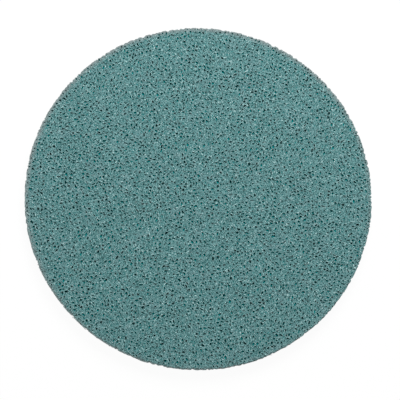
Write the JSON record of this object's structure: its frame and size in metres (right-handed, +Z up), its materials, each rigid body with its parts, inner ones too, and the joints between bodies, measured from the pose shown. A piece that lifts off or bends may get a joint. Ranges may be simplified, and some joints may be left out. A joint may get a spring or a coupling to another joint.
{
  "type": "sanding disc",
  "caption": "Round foam-backed sanding disc with a porous abrasive face and a loop backing that grips a sander's pad.",
  "frame": {"origin": "centre of the underside, on the loop backing", "axes": "+Z up out of the abrasive face, square to the disc"},
  "size_m": [0.15, 0.15, 0.0057],
  "materials": {
    "loop_fabric": "brushed loop pile, dull grey",
    "grey_foam": "soft open-cell foam, cut edge",
    "abrasive_coat": "porous resin-bonded grit, dull"
  },
  "bodies": {
    "root": {"loop_backing": "loop_fabric", "foam_pad": "grey_foam", "abrasive_face": "abrasive_coat"}
  },
  "joints": []
}
